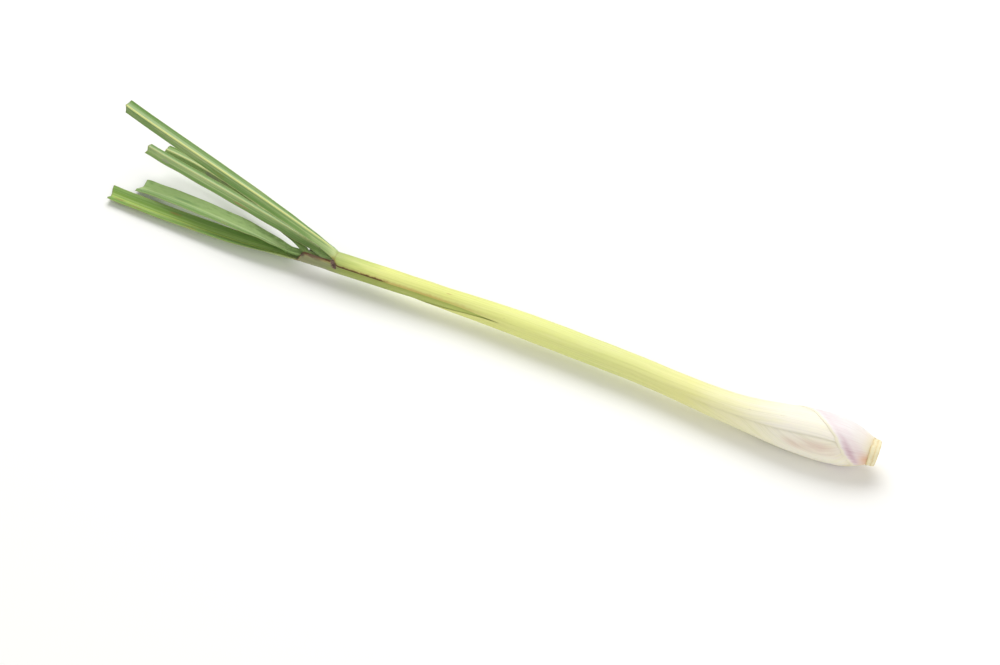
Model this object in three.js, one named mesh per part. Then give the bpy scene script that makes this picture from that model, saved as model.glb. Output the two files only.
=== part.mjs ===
// Lemongrass stalk, cut at the root and across the leaf blades, lying on a flat surface.
// Millimetres, +Z up. The root end points along +X and the blades along -X.
// Five leaves grow from a short solid stem base, on alternate sides. Each leaf is one sheet: below its
// collar it is a sheath rolled round the younger leaves, above it a blade folded along its midrib.
// The short remnant of an older, peeled sheath is still wrapped round the bulb.

import * as THREE from 'three';

// Driving dimensions

const GAP = 0.3;                 // clearance between neighbouring leaves
const BASE_LENGTH = 4.6;         // solid stem base, from the cut to the lowest leaf attachments
const CUT_SLANT = 0.2;           // the root cut leans by this much per millimetre of radius
const CUT_SLANT_SIDE = 39;       // degrees round the stalk from the top, towards -Y, where it is longest
const LEAF_START = 5.2;          // distance of the sheaths' lower ends from the root cut
const THIN = 0.62;               // sheath and blade thickness
const BULB_SWELL = 0.11;         // extra sheath thickness per millimetre of radius over COLLAR_RADIUS
const COLLAR_RADIUS = 5.25;      // outside of the stalk at its first collar
const MIDRIB_KEEL = 0.45;        // how far a blade's midrib stands out of its back
const REMNANT_FADE = [58, 76];   // the remnant's room under the outline is given up between these
const TUCK_FADE = [195, 232];    // the first leaf's margins overlap below, and only meet above, these
const TUCK_ARC = [0.15, 0.85];   // radians from a margin over which the leaf dips under the other margin
const MIDRIB_ROUNDING = 0.5;     // how far from the midrib a blade's fold is rounded
const MARGIN_FLATTENING = 0.45;  // how much less a blade's halves lean at the margin
const FOLD_ROOM = 0.18;          // how near its middle the inside of a blade comes, as a share of the width
const NARROWING = [-3, 0.5];     // where a sheath narrows to its blade's foot, from its collar
const UNROLLED = 0.5;            // how much flatter the section's arc grows while the blade unrolls

// Radius of the stalk's outline, plan and height of its centre line, against distance from the cut
const outlineRadius = profile([
  [0, 5.65], [1.5, 5.85], [4.2, 6.6], [8, 8.2], [12, 9.55], [17, 10.6], [25, 11.0], [34, 10.65],
  [44, 9.75], [53, 8.6], [62, 7.6], [72, 6.75], [82, 6.25], [105, 5.85], [155, 5.95], [180, 5.6],
  [210, 5.05], [262, COLLAR_RADIUS], [320, COLLAR_RADIUS],
]);
const centrePlan = profile([[-4, 0.3], [60, -3.1], [120, 0.6], [180, 2.1], [262, 0], [320, -2.2]]);
const centreHeight = profile([[-4, 10.7], [25, 10.78], [80, 10.2], [262, 9.4], [320, 9.2]]);

// Leaves from the outside in. Angles in degrees round the stalk, from the top towards -Y.
// wrapPlus and wrapMinus: how far the sheath reaches round the stalk on either side of its midrib.
// blade.tip: where the midrib ends. blade.lead: how far it first follows the stalk, as a share of its
// length. blade.arrive: its direction at the tip. blade.arch: how far its middle is bowed.
// blade.half: half its width. blade.foot: half its width at the collar, and the share of its length
// over which that changes. blade.fold: how steeply its halves lean. blade.unroll: the length over which
// it opens from the rolled sheath. blade.turn: how far it turns about its midrib, over the stretch
// blade.turnOver.
const LEAVES = [
  {
    name: 'leaf_1', midrib: -22, collar: 263, columns: [14, 7], colour: 0xc9d98c,
    wrapPlus: [[17, 65], [45, 74], [82, 83], [105, 95], [150, 105], [205, 84], [240, 84], [263, 82]],
    wrapMinus: [[5, 303], [82, 293], [150, 276], [190, 256], [228, 176], [263, 120]],
    blade: {
      tip: [-390.6, 27.9, 34], lead: 0.03, arrive: [-1, 0.37, 0.06], arch: [0, 0.8, 2.8],
      half: 3.6, foot: [4.5, 0.2], fold: 35, unroll: 24, turn: 62, turnOver: [0, 124],
    },
  },
  {
    name: 'leaf_2', midrib: 158, collar: 281, columns: [8, 8], colour: 0x8fa653,
    wrapPlus: [[200, 165], [240, 140], [258, 97]],
    wrapMinus: [[200, 165], [240, 140], [258, 122]],
    blade: {
      tip: [-387, -0.5, 0.4], lead: 0.08, arrive: [-1, 0.02, -0.02], arch: [0, -0.8, -1],
      half: 5.4, foot: [4, 0.45], fold: 40, unroll: 20, turn: 20, turnOver: [10, 60],
    },
  },
  {
    name: 'leaf_3', midrib: -22, collar: 270, columns: [7, 7], colour: 0x86a85a,
    wrapPlus: [[230, 160], [258, 100]],
    wrapMinus: [[230, 160], [258, 100]],
    blade: {
      tip: [-376.2, 20.7, 19.2], lead: 0.04, arrive: [-1, 0.16, 0.21], arch: [0, 1.9, 1.1],
      half: 3.7, foot: [3.2, 0.45], fold: 33, unroll: 28, turn: 21, turnOver: [12, 75],
    },
  },
  {
    name: 'leaf_4', midrib: 158, collar: 287, columns: [7, 7], colour: 0x7fae60,
    wrapPlus: [[230, 150], [265, 88]],
    wrapMinus: [[230, 150], [265, 88]],
    blade: {
      tip: [-376.5, 9.8, 0.4], lead: 0.1, arrive: [-1, 0.12, -0.12], arch: [0, 0, 2.5],
      half: 5.2, foot: [3.85, 0.45], fold: 36, unroll: 24, turn: 20, turnOver: [10, 60],
    },
  },
  {
    name: 'leaf_5', midrib: -22, collar: 278, columns: [5, 5], colour: 0x74a457,
    wrapPlus: [[230, 140], [265, 88]],
    wrapMinus: [[230, 140], [265, 88]],
    blade: {
      tip: [-370, 25.6, 15.5], lead: 0.034, arrive: [-1, 0, 0.2], arch: [0, 3, 0.2],
      half: 3.1, foot: [2.6, 0.45], fold: 38, unroll: 40, turn: 50, turnOver: [20, 80],
    },
  },
];

// Rows of points along a leaf: down its sheath, then about its collar, then along its blade
const SHEATH_ROWS = [
  LEAF_START, 8.5, 12.5, 17, 23, 30, 38, 46, 54, 63, 74, 90, 120, 150, 180, 199, 215, 231, 246,
];
const COLLAR_ROWS = [-16, -7, -3.5, -1.5, 0];
const BLADE_ROWS = [0.015, 0.03, 0.06, 0.11, 0.18, 0.27, 0.38, 0.5, 0.62, 0.75, 0.88, 1];

// The remnant's free edge: [degrees round from its lowest point towards the top, distance from the cut]
const REMNANT_START_ANGLE = 125;
const REMNANT_THICKNESS = 0.6;
const REMNANT_SPAN = [2, 358];   // degrees round, from one side of its slit to the other
const remnantEdge = profile([
  [0, 9], [86, 18], [130, 27], [176, 37], [235, 57], [275, 52], [318, 34], [360, 12],
]);
const REMNANT_COLUMNS = 30;
const REMNANT_ROWS = 9;

const NO_TUCK = { depth: 0, from: 0, to: 1 };
const ASIDE = 0.05;              // small step along a section, to measure its direction

const radians = THREE.MathUtils.degToRad;
const smooth = THREE.MathUtils.smoothstep;
const lerp = THREE.MathUtils.lerp;

// Curves and frames

/** Smooth curve through [position, value] pairs that never overshoots them. */
function profile(pairs) {
  const rise = (i) => (pairs[i + 1][1] - pairs[i][1]) / (pairs[i + 1][0] - pairs[i][0]);
  const last = pairs.length - 1;
  const slopes = pairs.map((_, i) => {
    if (i === 0 || i === last || rise(i - 1) * rise(i) <= 0) return 0;
    return 2 * rise(i - 1) * rise(i) / (rise(i - 1) + rise(i));
  });
  return (t) => {
    if (t <= pairs[0][0]) return pairs[0][1];
    if (t >= pairs[last][0]) return pairs[last][1];
    const i = pairs.findIndex((pair) => pair[0] > t) - 1;
    const span = pairs[i + 1][0] - pairs[i][0];
    const [from, to] = [pairs[i][1], pairs[i + 1][1]];
    return hermite((t - pairs[i][0]) / span, from, slopes[i] * span, to, slopes[i + 1] * span);
  };
}

/** Cubic from a to b, leaving with slope da and arriving with slope db. */
function hermite(k, a, da, b, db) {
  const k2 = k * k;
  const k3 = k2 * k;
  return (2 * k3 - 3 * k2 + 1) * a + (k3 - 2 * k2 + k) * da + (3 * k2 - 2 * k3) * b + (k3 - k2) * db;
}

/** Centre of the stalk and its directions at a distance from the root cut. */
function stalkFrame(s) {
  const centre = new THREE.Vector3(-s, centrePlan(s), centreHeight(s));
  const ahead = new THREE.Vector3(-s - 1, centrePlan(s + 1), centreHeight(s + 1));
  const along = ahead.sub(centre).normalize();
  const up = new THREE.Vector3(0, 0, 1).addScaledVector(along, -along.z).normalize();
  return { centre, along, up, side: up.clone().cross(along) };
}

/** Outward direction at an angle round the stalk. */
function outward(frame, degrees) {
  const a = radians(degrees);
  return frame.up.clone().multiplyScalar(Math.cos(a)).addScaledVector(frame.side, Math.sin(a));
}

/** Lifts a point that would reach below the surface, which gives the bulb its small flat spot. */
function onSurface(point) {
  point.z = Math.max(point.z, 0);
  return point;
}

// How the sheaths are stacked

/** Room that the outermost leaf leaves for the remnant. */
const remnantRoom = (s) => (REMNANT_THICKNESS + GAP) * (1 - smooth(s, ...REMNANT_FADE));

/** Thickness of every sheath, fleshier in the bulb. */
function sheathThickness(s) {
  return THIN + BULB_SWELL * Math.max(0, outlineRadius(s) - remnantRoom(s) - COLLAR_RADIUS);
}

/** How far the first leaf's hidden margin is tucked under its visible one. */
const tuckDepth = (s) => (sheathThickness(s) + GAP) * (1 - smooth(s, ...TUCK_FADE));

/** Outer radius of a leaf's sheath, counted from the outside in. */
function sheathRadius(order, s) {
  const outermost = outlineRadius(s) - remnantRoom(s);
  return outermost - order * (sheathThickness(s) + GAP) - (order > 0 ? tuckDepth(s) : 0);
}

// Cross sections of a leaf, as [across, inward] from the midrib, at a length v along the section

/** Sheath section: an arc round the stalk, whose far end dips under the other margin. */
function arcSection(v, radius, tuck) {
  const a = v / radius;
  const r = radius - tuck.depth * smooth(a, tuck.from, tuck.to);
  return [r * Math.sin(a), radius - r * Math.cos(a)];
}

/** Blade section: folded at the midrib, flatter towards the margin. */
function foldedSection(v, half, fold) {
  const steps = 12;
  const step = v / steps;
  let across = 0;
  let inward = 0;
  for (let i = 0; i < steps; i += 1) {
    const at = (i + 0.5) * step;
    const rounding = 1 - Math.exp(-at / MIDRIB_ROUNDING);
    const slope = fold * rounding * (1 - MARGIN_FLATTENING * (at / half) ** 2);
    across += step * Math.cos(slope);
    inward += step * Math.sin(slope);
  }
  return [across, inward];
}

/** Point of a row's section, on one side of the midrib. */
function sectionPoint(row, v, tuck) {
  const arc = row.bladeness < 1 ? arcSection(v, row.radius, tuck) : [0, 0];
  const folded = row.bladeness > 0 ? foldedSection(v, row.half, row.fold) : [0, 0];
  return [lerp(arc[0], folded[0], row.bladeness), lerp(arc[1], folded[1], row.bladeness)];
}

// Rows along a leaf

/** A row on the sheath, at a distance from the root cut. */
function sheathRow(leaf, order, s) {
  const frame = stalkFrame(s);
  const out = outward(frame, leaf.midrib);
  const radius = sheathRadius(order, s);
  const wrap = [radians(leaf.minus(s)), radians(leaf.plus(s))];
  const margin = 2 * Math.PI - wrap[1];
  const narrowing = smooth(s - leaf.collar, ...NARROWING);
  return {
    origin: frame.centre.clone().addScaledVector(out, radius),
    along: frame.along, out, radius,
    bladeness: 0,
    reach: wrap.map((a) => lerp(radius * a, bladeReach(leaf, 0), narrowing)),
    thickness: sheathThickness(s),
    keel: 0,
    tuck: order === 0
      ? { depth: tuckDepth(s), from: margin - TUCK_ARC[1], to: margin - TUCK_ARC[0] }
      : NO_TUCK,
  };
}

/** Half width of a blade, which changes from its foot on. */
function bladeReach(leaf, t) {
  const [foot, over] = leaf.blade.foot;
  return lerp(foot, leaf.blade.half, smooth(t, 0, over));
}

/** A row on the blade, at a fraction of its length. */
function bladeRow(leaf, order, t) {
  const foot = sheathRow(leaf, order, leaf.collar);
  const tip = new THREE.Vector3(...leaf.blade.tip);
  const length = tip.distanceTo(foot.origin);
  const leave = foot.along.clone().multiplyScalar(length * leaf.blade.lead * 2);
  const arrive = new THREE.Vector3(...leaf.blade.arrive).normalize().multiplyScalar(length);
  const arch = new THREE.Vector3(...leaf.blade.arch);
  const place = (k) => new THREE.Vector3(
    hermite(k, foot.origin.x, leave.x, tip.x, arrive.x),
    hermite(k, foot.origin.y, leave.y, tip.y, arrive.y),
    hermite(k, foot.origin.z, leave.z, tip.z, arrive.z),
  ).addScaledVector(arch, Math.sin(Math.PI * Math.min(k, 1)));
  const along = place(t + 0.005).sub(place(t - 0.005)).normalize();
  const turn = radians(leaf.blade.turn) * smooth(t * length, ...leaf.blade.turnOver);
  const turned = foot.out.clone().applyAxisAngle(foot.along, -turn);
  const out = turned.addScaledVector(along, -turned.dot(along)).normalize();
  const half = bladeReach(leaf, t);
  const bladeness = smooth(t * length, 0, leaf.blade.unroll);
  return {
    origin: place(t), along, out,
    radius: foot.radius * (1 + UNROLLED * bladeness),
    bladeness, half,
    fold: radians(leaf.blade.fold),
    reach: [half, half],
    thickness: THIN,
    keel: MIDRIB_KEEL * bladeness,
    tuck: NO_TUCK,
  };
}

/** Outer and inner points of one row, from the margin at -1 over the midrib at 0 to the margin at +1. */
function rowPoints(row, columns) {
  const across = row.out.clone().cross(row.along);
  const outer = [];
  const inner = [];
  for (let j = -columns[0]; j <= columns[1]; j += 1) {
    const side = j < 0 ? 0 : 1;
    const v = Math.abs(j) / columns[side] * row.reach[side];
    const tuck = side === 0 ? row.tuck : NO_TUCK;
    const [x, y] = sectionPoint(row, v, tuck);
    const [x1, y1] = sectionPoint(row, v + ASIDE, tuck);
    const turn = Math.atan2(y1 - y, x1 - x);
    const keel = j === 0 ? row.keel : 0;
    const innerX = j === 0 ? 0 : keepOnOwnSide(x - row.thickness * Math.sin(turn), v, row.bladeness);
    const innerY = y + row.thickness * Math.cos(turn);
    const point = (px, py) => onSurface(row.origin.clone()
      .addScaledVector(across, j < 0 ? -px : px).addScaledVector(row.out, -py));
    outer.push(point(x, y - keel));
    inner.push(point(innerX, innerY));
  }
  return { outer, inner };
}

/** Keeps the inside of a folded blade from crossing its middle. */
function keepOnOwnSide(x, v, bladeness) {
  return bladeness > 0 ? Math.max(x, FOLD_ROOM * v * bladeness) : x;
}

// Solids

/** Closed solid between two grids of points, split alike on both skins. */
function solidBetween(outer, inner) {
  const rows = outer.length;
  const columns = outer[0].length;
  const at = (skin, i, j) => (skin * rows + i) * columns + j;
  const index = [];
  const quad = (a, b, c, d) => index.push(a, b, c, a, c, d);
  for (let i = 0; i < rows - 1; i += 1) {
    for (let j = 0; j < columns - 1; j += 1) {
      quad(at(0, i, j), at(0, i, j + 1), at(0, i + 1, j + 1), at(0, i + 1, j));
      quad(at(1, i, j), at(1, i + 1, j), at(1, i + 1, j + 1), at(1, i, j + 1));
    }
    quad(at(0, i, 0), at(0, i + 1, 0), at(1, i + 1, 0), at(1, i, 0));
    const edge = columns - 1;
    quad(at(0, i, edge), at(1, i, edge), at(1, i + 1, edge), at(0, i + 1, edge));
  }
  for (let j = 0; j < columns - 1; j += 1) {
    quad(at(0, 0, j), at(1, 0, j), at(1, 0, j + 1), at(0, 0, j + 1));
    quad(at(0, rows - 1, j), at(0, rows - 1, j + 1), at(1, rows - 1, j + 1), at(1, rows - 1, j));
  }
  return geometryFrom([...outer.flat(), ...inner.flat()], index);
}

/** Indexed geometry whose faces point outwards. */
function geometryFrom(points, index) {
  const volume = index.reduce((sum, _, k) => (k % 3 ? sum
    : sum + points[index[k]].dot(points[index[k + 1]].clone().cross(points[index[k + 2]]))), 0);
  const faces = volume > 0 ? index : index.toReversed();
  const geometry = new THREE.BufferGeometry().setFromPoints(points);
  geometry.setIndex(faces);
  geometry.computeVertexNormals();
  return geometry;
}

function namedMesh(name, geometry, colour, roughness) {
  const material = new THREE.MeshStandardMaterial({ color: colour, roughness, metalness: 0 });
  const mesh = new THREE.Mesh(geometry, material);
  mesh.name = name;
  return mesh;
}

/** Short solid stem base: rings from the cut face to its domed top inside the bulb. */
function rootPlate() {
  const sides = 32;
  const rounding = 0.3;
  const rings = [
    { s: 0, r: outlineRadius(0) - rounding },
    ...[rounding, 1.6, 3.2, BASE_LENGTH - rounding].map((s) => ({ s, r: outlineRadius(s) })),
    { s: BASE_LENGTH, r: outlineRadius(BASE_LENGTH) - rounding },
  ];
  const ringPoints = rings.map(({ s, r }) => {
    const frame = stalkFrame(s);
    const slant = CUT_SLANT * (1 - s / BASE_LENGTH);
    return Array.from({ length: sides }, (_, j) => {
      const degrees = j / sides * 360;
      const shift = slant * r * Math.cos(radians(degrees - CUT_SLANT_SIDE));
      return frame.centre.clone().addScaledVector(outward(frame, degrees), r)
        .addScaledVector(frame.along, -shift);
    });
  });
  const points = [...ringPoints.flat(), stalkFrame(0).centre, stalkFrame(BASE_LENGTH).centre];
  const index = [];
  for (let j = 0; j < sides; j += 1) {
    const next = (j + 1) % sides;
    for (let i = 0; i < rings.length - 1; i += 1) {
      const [a, b, c, d] = [i * sides + j, i * sides + next, (i + 1) * sides + next, (i + 1) * sides + j];
      index.push(a, b, c, a, c, d);
    }
    const top = (rings.length - 1) * sides;
    index.push(points.length - 2, next, j, points.length - 1, top + j, top + next);
  }
  return namedMesh('root_plate', geometryFrom(points, index), 0xe9d6a0, 0.7);
}

/** Remnant of a peeled outer sheath, its free edge slanting up round the bulb. */
function sheathRemnant() {
  const outer = [];
  const inner = [];
  for (let i = 0; i <= REMNANT_ROWS; i += 1) {
    outer.push([]);
    inner.push([]);
    for (let j = 0; j <= REMNANT_COLUMNS; j += 1) {
      const round = lerp(...REMNANT_SPAN, j / REMNANT_COLUMNS);
      const s = lerp(LEAF_START, remnantEdge(round), i / REMNANT_ROWS);
      const frame = stalkFrame(s);
      const out = outward(frame, REMNANT_START_ANGLE - round);
      const radius = outlineRadius(s);
      outer[i].push(onSurface(frame.centre.clone().addScaledVector(out, radius)));
      inner[i].push(frame.centre.clone().addScaledVector(out, radius - REMNANT_THICKNESS));
    }
  }
  return namedMesh('outer_sheath_remnant', solidBetween(outer, inner), 0xf1e6df, 0.45);
}

/** One leaf: its sheath, collar and cut blade. */
function leafSolid(leaf, order) {
  const shaped = { ...leaf, plus: profile(leaf.wrapPlus), minus: profile(leaf.wrapMinus) };
  const collarRows = COLLAR_ROWS.map((d) => leaf.collar + d);
  const rows = [
    ...SHEATH_ROWS.filter((s) => s < collarRows[0] - 5).map((s) => sheathRow(shaped, order, s)),
    ...collarRows.map((s) => sheathRow(shaped, order, s)),
    ...BLADE_ROWS.map((t) => bladeRow(shaped, order, t)),
  ].map((row) => rowPoints(row, leaf.columns));
  const geometry = solidBetween(rows.map((row) => row.outer), rows.map((row) => row.inner));
  return namedMesh(leaf.name, geometry, leaf.colour, 0.5);
}

// The stalk, with its origin under the middle of its box

const stalk = new THREE.Group();
stalk.name = 'lemongrass_stalk';
stalk.add(rootPlate(), sheathRemnant(), ...LEAVES.map(leafSolid));

const box = new THREE.Box3().setFromObject(stalk);
const middle = box.getCenter(new THREE.Vector3());
stalk.position.set(-middle.x, -middle.y, -box.min.z);

export default stalk;
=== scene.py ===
# %% [markdown]
# # A lemongrass stalk
# The object is one fresh stalk of lemongrass, cut at the root and across its leaf blades, lying on a
# pale table. It is a bundle of leaves: the lower part of each leaf is a sheath rolled round the younger
# ones, the upper part is a blade folded along its midrib. Everything is in metres, in the row frame, and
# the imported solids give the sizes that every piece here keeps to.

# %% Load the frame
import math

import bpy
import numpy as np
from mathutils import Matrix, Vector


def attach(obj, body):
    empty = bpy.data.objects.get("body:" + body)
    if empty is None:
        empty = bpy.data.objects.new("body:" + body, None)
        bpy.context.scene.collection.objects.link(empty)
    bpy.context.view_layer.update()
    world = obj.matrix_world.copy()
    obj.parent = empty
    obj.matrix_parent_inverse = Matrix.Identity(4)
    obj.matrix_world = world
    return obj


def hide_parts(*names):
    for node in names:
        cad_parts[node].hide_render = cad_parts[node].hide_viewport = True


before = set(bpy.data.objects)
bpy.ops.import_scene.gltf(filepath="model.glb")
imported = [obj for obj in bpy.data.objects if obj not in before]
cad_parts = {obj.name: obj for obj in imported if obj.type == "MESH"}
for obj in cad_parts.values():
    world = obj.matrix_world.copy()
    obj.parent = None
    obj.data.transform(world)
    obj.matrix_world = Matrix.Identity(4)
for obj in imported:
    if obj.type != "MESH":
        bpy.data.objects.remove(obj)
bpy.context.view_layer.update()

# %% [markdown]
# ## The stalk's own measures
# All lengths along the stalk are millimetres from the root cut. The root cut's centre is the stalk's own
# origin; MOVE takes a point from there to the row frame. Angles go round the stalk from its top, towards
# the side that faces the camera. The stalk is a round body on a nearly straight line, so it could be a
# row of circles, but a few curves through measured places give its outline and its slight bend without
# steps, and every leaf can follow them.

# %% Measures
MM = 0.001
MOVE = np.array([195.04, -9.99, 0.0])
COLLAR_RADIUS = 5.25
LEAF_START = 4.5  # where the outermost sheath starts
LEAF_THICKNESS = 0.62  # where a sheath isn't swollen
MIDRIB_KEEL = 0.45  # how far the midrib stands out of a blade's back
# the root cut slants by CUT_SLANT per millimetre of radius, and the slant fades out up the bare base
CUT_SLANT, CUT_SLANT_SIDE, BASE_LENGTH = 0.2, 39.0, 4.6


def smooth(x, low, high):
    """0 below low, 1 above high, and an even rise between them."""
    k = np.clip((np.asarray(x, float) - low) / (high - low), 0, 1)
    return k * k * (3 - 2 * k)


def hermite(k, a, da, b, db):
    """Cubic from a to b that leaves with slope da and arrives with slope db."""
    return ((2 * k**3 - 3 * k**2 + 1) * a + (k**3 - 2 * k**2 + k) * da
            + (3 * k**2 - 2 * k**3) * b + (k**3 - k**2) * db)


def profile(*pairs):
    """Smooth curve through (place, value) pairs that never overshoots them."""
    x, y = np.array(pairs, float).T
    rise = np.diff(y) / np.diff(x)
    slope = np.zeros_like(y)
    both = rise[:-1] * rise[1:]
    slope[1:-1] = np.where(both > 0, 2 * both / np.where(both > 0, rise[:-1] + rise[1:], 1), 0)

    def at(t):
        t = np.clip(t, x[0], x[-1])
        i = np.clip(np.searchsorted(x, t, side="right") - 1, 0, len(x) - 2)
        span = x[i + 1] - x[i]
        return hermite((t - x[i]) / span, y[i], slope[i] * span, y[i + 1], slope[i + 1] * span)

    return at


outline_radius = profile(
    (0, 5.65), (1.5, 5.85), (4.2, 6.6), (8, 8.2), (12, 9.55), (17, 10.6), (25, 11.0), (34, 10.65),
    (44, 9.75), (53, 8.6), (62, 7.6), (72, 6.75), (82, 6.25), (105, 5.85), (155, 5.95), (180, 5.6),
    (210, 5.05), (262, COLLAR_RADIUS), (320, COLLAR_RADIUS),
)
centre_plan = profile((-4, 0.3), (60, -3.1), (120, 0.6), (180, 2.1), (262, 0), (320, -2.2))
centre_height = profile((-4, 10.7), (25, 10.78), (80, 10.2), (262, 9.4), (320, 9.2))


def unit(v):
    return v / np.linalg.norm(v, axis=-1, keepdims=True)


def stalk_frame(s):
    """Centre of the stalk and its directions at distances s from the root cut."""
    s = np.atleast_1d(np.asarray(s, float))
    centre = np.stack([-s, centre_plan(s), centre_height(s)], -1)
    ahead = np.stack([-s - 1, centre_plan(s + 1), centre_height(s + 1)], -1)
    along = unit(ahead - centre)
    up = unit(np.array([0, 0, 1.0]) - along[..., 2:] * along)
    return centre, along, up, np.cross(up, along)


def outward(up, side, degrees):
    a = np.radians(np.asarray(degrees, float))[..., None]
    return up * np.cos(a) + side * np.sin(a)


def on_stalk(s, degrees, radius, rootward=0.0):
    """Points at distances s from the root cut, at an angle and radius round the stalk's centre."""
    centre, along, up, side = stalk_frame(s)
    back = along * np.asarray(rootward)[..., None]
    return centre + outward(up, side, degrees) * np.asarray(radius)[..., None] - back


def cut_slant(s, radius, degrees):
    """How far the slant of the root cut moves a point towards the root."""
    return CUT_SLANT * np.maximum(0, 1 - s / BASE_LENGTH) * radius * np.cos(np.radians(degrees - CUT_SLANT_SIDE))


print("bulb", 2 * float(outline_radius(25)), "mm across, collar", 2 * COLLAR_RADIUS, "mm")

# %% [markdown]
# ## The leaves
# Five leaves, from the outside in. Each has the angle of its midrib, the place of its collar, how far
# its sheath reaches round the stalk on either side, and where and how its blade goes. The numbers are
# those of the solids, so a piece lies where its solid does.

# %% Leaf table
LEAVES = [
    dict(
        name="outer_leaf", node="leaf_1", midrib=-22, collar=263,
        plus=profile((17, 65), (45, 74), (82, 83), (105, 95), (150, 105), (205, 84), (240, 84), (263, 82)),
        minus=profile((5, 303), (82, 293), (150, 276), (190, 256), (228, 176), (263, 120)),
        tip=(-390.6, 27.9, 34), lead=0.03, arrive=(-1, 0.37, 0.06), arch=(0, 0.8, 2.8),
        half=3.6, foot=(4.5, 0.2), fold=35, unroll=24, turn=62, turn_over=(0, 124), columns=(84, 40),
    ),
    dict(
        name="second_leaf", node="leaf_2", midrib=158, collar=281,
        plus=profile((200, 165), (240, 140), (258, 97)), minus=profile((200, 165), (240, 140), (258, 122)),
        tip=(-387, -0.5, 0.4), lead=0.08, arrive=(-1, 0.02, -0.02), arch=(0, -0.8, -1),
        half=5.4, foot=(4, 0.45), fold=40, unroll=20, turn=20, turn_over=(10, 60), columns=(34, 34),
    ),
    dict(
        name="third_leaf", node="leaf_3", midrib=-22, collar=270,
        plus=profile((230, 160), (258, 100)), minus=profile((230, 160), (258, 100)),
        tip=(-376.2, 20.7, 19.2), lead=0.04, arrive=(-1, 0.16, 0.21), arch=(0, 1.9, 1.1),
        half=3.7, foot=(3.2, 0.45), fold=33, unroll=28, turn=21, turn_over=(12, 75), columns=(30, 30),
    ),
    dict(
        name="fourth_leaf", node="leaf_4", midrib=158, collar=287,
        plus=profile((230, 150), (265, 88)), minus=profile((230, 150), (265, 88)),
        tip=(-376.5, 9.8, 0.4), lead=0.1, arrive=(-1, 0.12, -0.12), arch=(0, 0, 2.5),
        half=5.2, foot=(3.85, 0.45), fold=36, unroll=24, turn=20, turn_over=(10, 60), columns=(30, 30),
    ),
    dict(
        name="fifth_leaf", node="leaf_5", midrib=-22, collar=278,
        plus=profile((230, 140), (265, 88)), minus=profile((230, 140), (265, 88)),
        tip=(-370, 25.6, 15.5), lead=0.034, arrive=(-1, 0, 0.2), arch=(0, 3, 0.2),
        half=3.1, foot=(2.6, 0.45), fold=38, unroll=40, turn=50, turn_over=(20, 80), columns=(28, 28),
    ),
]
SHEATH_GAP = 0.3
MARGIN_THICKNESS = 0.2
REMNANT_THICKNESS = 0.34
REMNANT_ROOM = 0.42  # the outermost leaf lies this far under the outline where it carries the peeled sheath
BULB_SWELL = 0.11  # a sheath is thicker by this share of what the bulb is wider than the collar
SNUG = 0.28  # the second sheath lies closer to the first by this where it shows


def remnant_room(s):
    return REMNANT_ROOM * (1 - smooth(s, 58, 76))


def sheath_thickness(s):
    return LEAF_THICKNESS + BULB_SWELL * np.maximum(0, outline_radius(s) - remnant_room(s) - COLLAR_RADIUS)


def tuck_depth(s):
    """How far the outermost leaf's covered side dips under its free margin, where the two overlap."""
    return (sheath_thickness(s) + SHEATH_GAP) * (1 - smooth(s, 170, 194))


def sheath_radius(order, s):
    """Outer radius of a leaf's sheath, counted from the outside in."""
    r = outline_radius(s) - remnant_room(s) - order * (sheath_thickness(s) + SHEATH_GAP)
    if order:
        r = r - tuck_depth(s)
    if order == 1:
        r = r + SNUG * smooth(s, 176, 196) * (1 - smooth(s, 262, 270))
    return r


print("leaves", [leaf["node"] for leaf in LEAVES])
print("sheath at the bulb", round(float(sheath_thickness(25)), 2), "mm thick")

# %% [markdown]
# ## The fold of a blade
# A blade is narrower at its foot, and its section is folded at the midrib and flatter towards the
# margins. The section is found by walking outwards from the midrib in small steps, each turned by the
# fold's slope at that place.

# %% Sections
WALK = np.linspace(0, 1, 241)
FOLD_START = 0.5  # millimetres from the midrib over which the fold takes up its slope
MARGIN_FLATTENING = 0.45  # share of that slope that is lost at the margin


def blade_reach(leaf, t):
    foot, over = leaf["foot"]
    return foot + (leaf["half"] - foot) * smooth(t, 0, over)


def folded_section(half, fold, share):
    """(across, inward) at shares of the half width, for rows of one blade."""
    v = WALK[None, :] * half[:, None]
    slope = fold * (1 - np.exp(-v / FOLD_START)) * (1 - MARGIN_FLATTENING * WALK[None, :] ** 2)
    step = np.diff(v, axis=1)
    mid = (slope[:, 1:] + slope[:, :-1]) / 2
    start = np.zeros((len(half), 1))
    place = share * (len(WALK) - 1)
    i = np.minimum(place.astype(int), len(WALK) - 2)
    k = place - i
    walked = [np.concatenate([start, np.cumsum(step * turned, 1)], 1) for turned in (np.cos(mid), np.sin(mid))]
    return np.stack([line[:, i] * (1 - k) + line[:, i + 1] * k for line in walked])


margin_at = folded_section(np.array([5.0]), math.radians(35), np.array([1.0])).ravel()
print("half a blade of 5 mm, folded by 35 degrees, ends", margin_at.round(2), "mm across and inward")

# %% [markdown]
# ## Rows of a leaf
# Every row of a leaf is a place on its midrib, three directions and a section. Rows on the sheath come
# from the stalk's own frame; rows on the blade follow a curve from the collar to the cut tip. The blade
# could be bent into place with a curve modifier, but its twist is easier to set row by row.

# %% Rows
NO_MARGIN = 9.0  # an angle that no blade reaches, so nothing is tucked under there


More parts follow.
